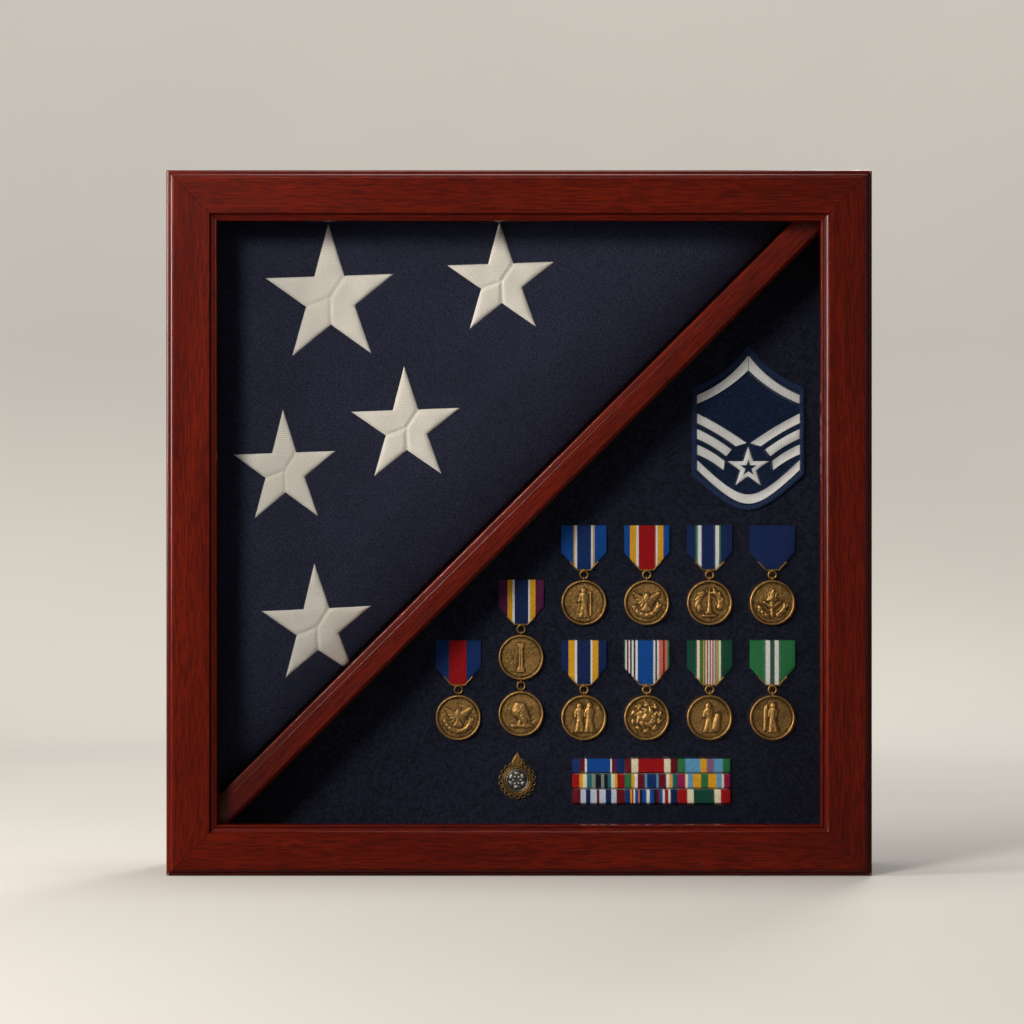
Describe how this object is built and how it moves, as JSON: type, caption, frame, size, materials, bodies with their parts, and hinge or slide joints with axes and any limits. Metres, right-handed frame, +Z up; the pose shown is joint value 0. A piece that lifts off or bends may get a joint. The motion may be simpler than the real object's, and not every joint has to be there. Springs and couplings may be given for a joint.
{
  "type": "folded flag display case",
  "caption": "Square mahogany shadow box with a glazed moulded front, a diagonal divider, a folded flag in one half and hanging medals on a cloth board in the other, and a slide-out back.",
  "frame": {"origin": "middle of the base, on the underside of the bottom side and half way through the wooden case's depth", "axes": "+Z up, the glazed front faces -Y, +X to the right as the front is seen"},
  "size_m": [0.534, 0.096, 0.534],
  "materials": {
    "mahogany": "gloss lacquer over dark red-brown stain",
    "plain_wood": "unfinished",
    "panel_board": "smooth hardboard",
    "glass": "clear, low reflection",
    "flag_cloth": "navy twill",
    "star_thread": "warm white embroidery",
    "board_core": "plain mounting board",
    "board_cloth": "dark navy cloth",
    "ribbon": "woven stripes",
    "bronze": "struck bronze with dark recesses",
    "brass": "polished",
    "silver": "darkened silver relief",
    "patch_border": "blue overlocked thread",
    "patch_ground": "navy twill",
    "ribbon_bars": "woven stripes over metal bars",
    "steel": "zinc plated",
    "bumper_rubber": "matt"
  },
  "bodies": {
    "case": {"top_moulding": "mahogany", "bottom_moulding": "mahogany", "left_moulding": "mahogany", "right_moulding": "mahogany", "top_side": "mahogany", "bottom_side": "mahogany", "left_side": "mahogany", "right_side": "mahogany", "divider": "mahogany", "glass_stops": "mahogany", "mitre_v_nails": "steel", "side_dowels": "plain_wood", "divider_dowels": "plain_wood", "glass_pane": "glass", "flag": "flag_cloth", "flag_stars": "star_thread", "medal_board": "board_core", "board_cloth": "board_cloth", "board_stops": "plain_wood", "board_spacers": "plain_wood", "brooch_bars": "brass", "suspension_rings": "brass", "patch_border": "patch_border", "patch_ground": "patch_ground", "patch_stripes": "star_thread", "patch_star": "star_thread", "badge_frame": "brass", "badge_medallion": "silver", "ribbon_rack_holder": "brass", "ribbon_bars": "ribbon_bars", "hanger_straps": "steel", "hanger_screws": "steel", "wall_bumpers": "bumper_rubber", "ribbon_1": "ribbon", "ribbon_2": "ribbon", "ribbon_3": "ribbon", "ribbon_4": "ribbon", "ribbon_5": "ribbon", "ribbon_6": "ribbon", "ribbon_7": "ribbon", "ribbon_8": "ribbon", "ribbon_9": "ribbon", "ribbon_10": "ribbon"},
    "panel": {"back_panel": "panel_board"},
    "hanger_ring_left": {"d_ring_left": "steel"},
    "hanger_ring_right": {"d_ring_right": "steel"},
    "medal_1_body": {"medal_1": "bronze"},
    "medal_2_body": {"medal_2": "bronze"},
    "medal_3_body": {"medal_3": "bronze"},
    "medal_4_body": {"medal_4": "bronze"},
    "medal_5_body": {"medal_5": "bronze", "link_ring": "brass"},
    "medal_6_body": {"medal_6": "bronze"},
    "medal_7_body": {"medal_7": "bronze"},
    "medal_8_body": {"medal_8": "bronze"},
    "medal_9_body": {"medal_9": "bronze"},
    "medal_10_body": {"medal_10": "bronze"},
    "medal_11_body": {"medal_11": "bronze"}
  },
  "joints": [
    {"name": "panel_slide", "type": "slide", "parent": "case", "child": "panel", "axis": [0, 0, 1], "range_m": [0, 0.5]},
    {"name": "hanger_ring_left_swing", "type": "hinge", "parent": "case", "child": "hanger_ring_left", "pos_m": [-0.258, 0.04795, 0.428], "axis": [1, 0, 0], "range_deg": [0, 175]},
    {"name": "hanger_ring_right_swing", "type": "hinge", "parent": "case", "child": "hanger_ring_right", "pos_m": [0.258, 0.04795, 0.428], "axis": [1, 0, 0], "range_deg": [0, 175]},
    {"name": "medal_1_swing", "type": "hinge", "parent": "case", "child": "medal_1_body", "pos_m": [0.05036, 0.0142, 0.22672], "axis": [0, 1, 0], "range_deg": [-12, 12]},
    {"name": "medal_2_swing", "type": "hinge", "parent": "case", "child": "medal_2_body", "pos_m": [0.09911, 0.0142, 0.22672], "axis": [0, 1, 0], "range_deg": [-12, 12]},
    {"name": "medal_3_swing", "type": "hinge", "parent": "case", "child": "medal_3_body", "pos_m": [0.14786, 0.0142, 0.22672], "axis": [0, 1, 0], "range_deg": [-12, 12]},
    {"name": "medal_4_swing", "type": "hinge", "parent": "case", "child": "medal_4_body", "pos_m": [0.19662, 0.0142, 0.22672], "axis": [0, 1, 0], "range_deg": [-12, 12]},
    {"name": "medal_5_swing", "type": "hinge", "parent": "case", "child": "medal_5_body", "pos_m": [0.0016, 0.0142, 0.18448], "axis": [0, 1, 0], "range_deg": [-5, 5]},
    {"name": "medal_6_swing", "type": "hinge", "parent": "case", "child": "medal_6_body", "pos_m": [-0.04715, 0.0142, 0.13749], "axis": [0, 1, 0], "range_deg": [-10, 10]},
    {"name": "medal_7_swing", "type": "hinge", "parent": "case", "child": "medal_7_body", "pos_m": [0.05036, 0.0142, 0.13749], "axis": [0, 1, 0], "range_deg": [-10, 10]},
    {"name": "medal_8_swing", "type": "hinge", "parent": "case", "child": "medal_8_body", "pos_m": [0.09911, 0.0142, 0.13749], "axis": [0, 1, 0], "range_deg": [-12, 12]},
    {"name": "medal_9_swing", "type": "hinge", "parent": "case", "child": "medal_9_body", "pos_m": [0.14786, 0.0142, 0.13749], "axis": [0, 1, 0], "range_deg": [-12, 12]},
    {"name": "medal_10_swing", "type": "hinge", "parent": "case", "child": "medal_10_body", "pos_m": [0.19662, 0.0142, 0.13749], "axis": [0, 1, 0], "range_deg": [-12, 12]},
    {"name": "medal_11_swing", "type": "hinge", "parent": "medal_5_body", "child": "medal_11_body", "pos_m": [0.0016, 0.0142, 0.14058], "axis": [0, 1, 0], "range_deg": [-5, 5]}
  ]
}
